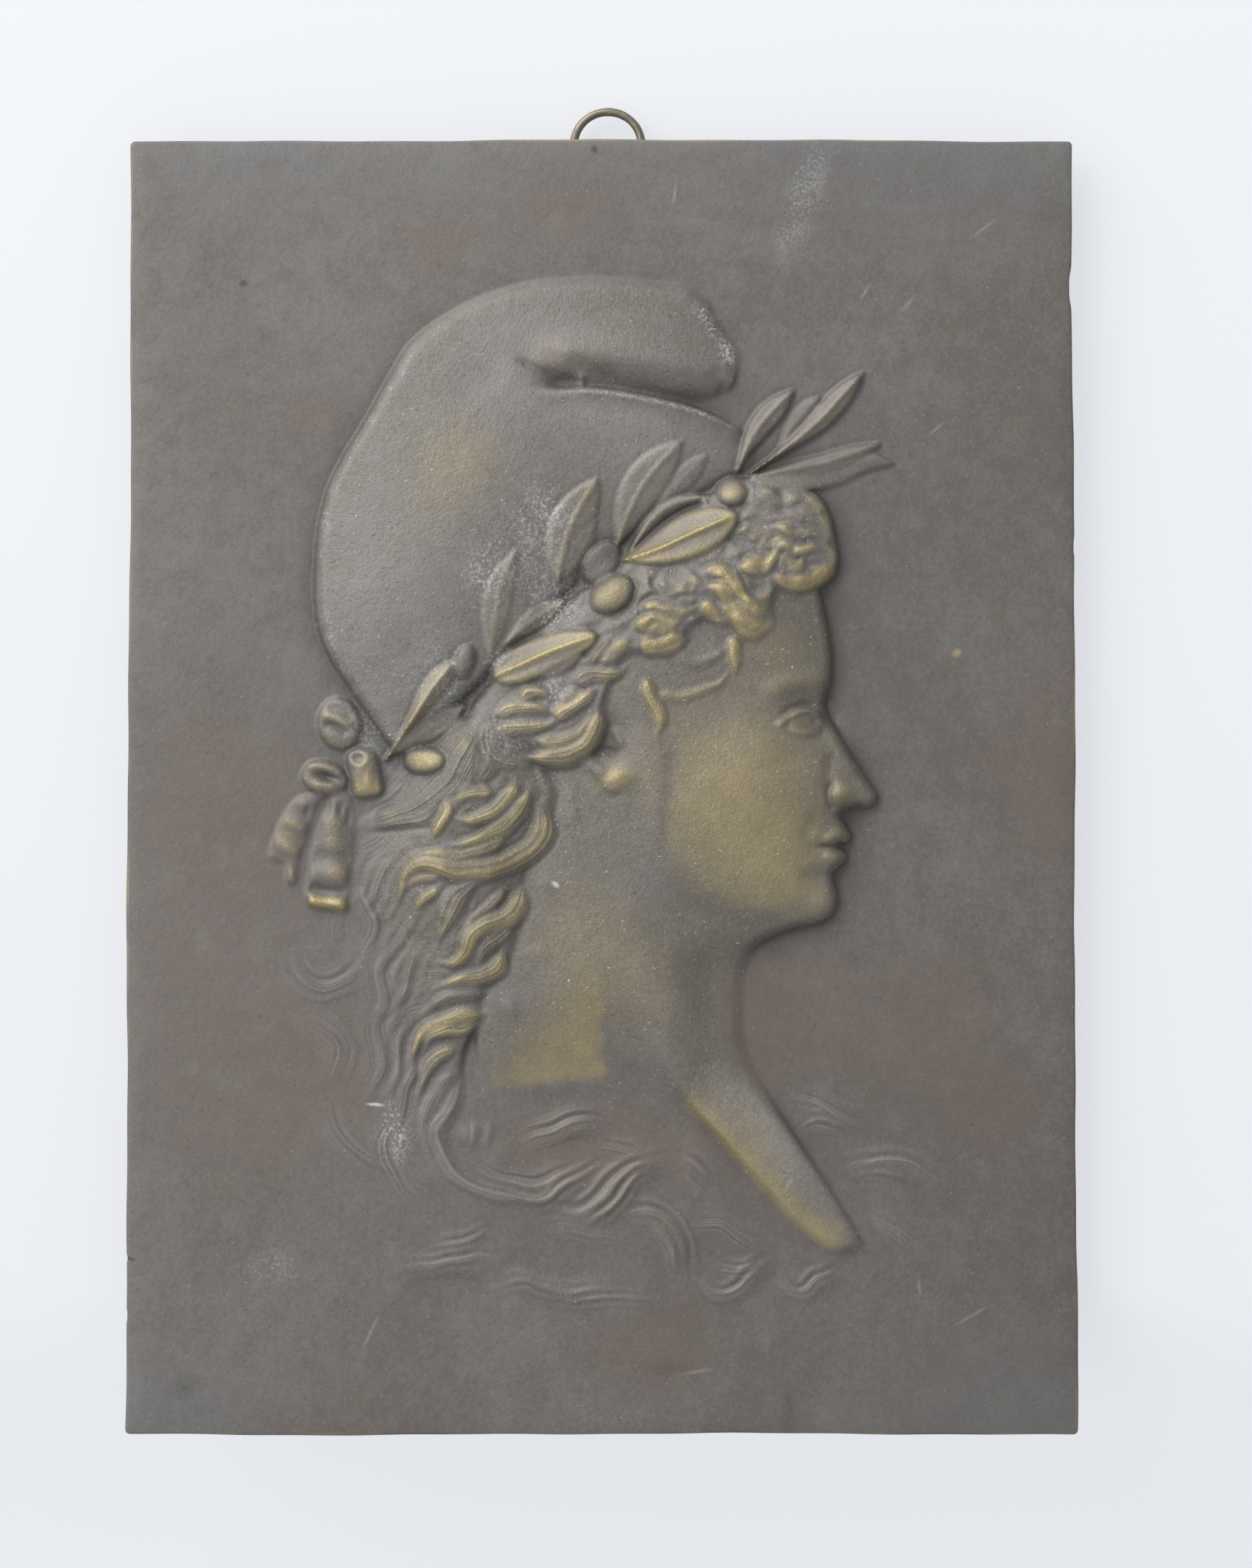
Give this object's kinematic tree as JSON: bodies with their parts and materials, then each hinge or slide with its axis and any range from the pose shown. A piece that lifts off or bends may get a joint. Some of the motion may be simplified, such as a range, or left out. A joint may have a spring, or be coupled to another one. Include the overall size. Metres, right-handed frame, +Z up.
{
  "type": "relief plaque",
  "caption": "Rectangular cast bronze wall plaque with a profile head in low relief, soft cap, laurel wreath, ribbon bow and flowing hair, hung by a wire ring at the back.",
  "frame": {"origin": "inner top of the hanging ring, where the nail or hook bears", "axes": "+Z up, the relief faces -Y, +Y towards the wall, +X to the right as seen from the front"},
  "size_m": [0.24, 0.0257, 0.3376],
  "materials": {
    "patinated_bronze": "grey brown patina, satin, rubbed to golden metal on the high points",
    "brass_wire": "drawn brass wire, dulled"
  },
  "bodies": {
    "root": {"plaque": "patinated_bronze", "hanging_ring": "brass_wire"}
  },
  "joints": []
}
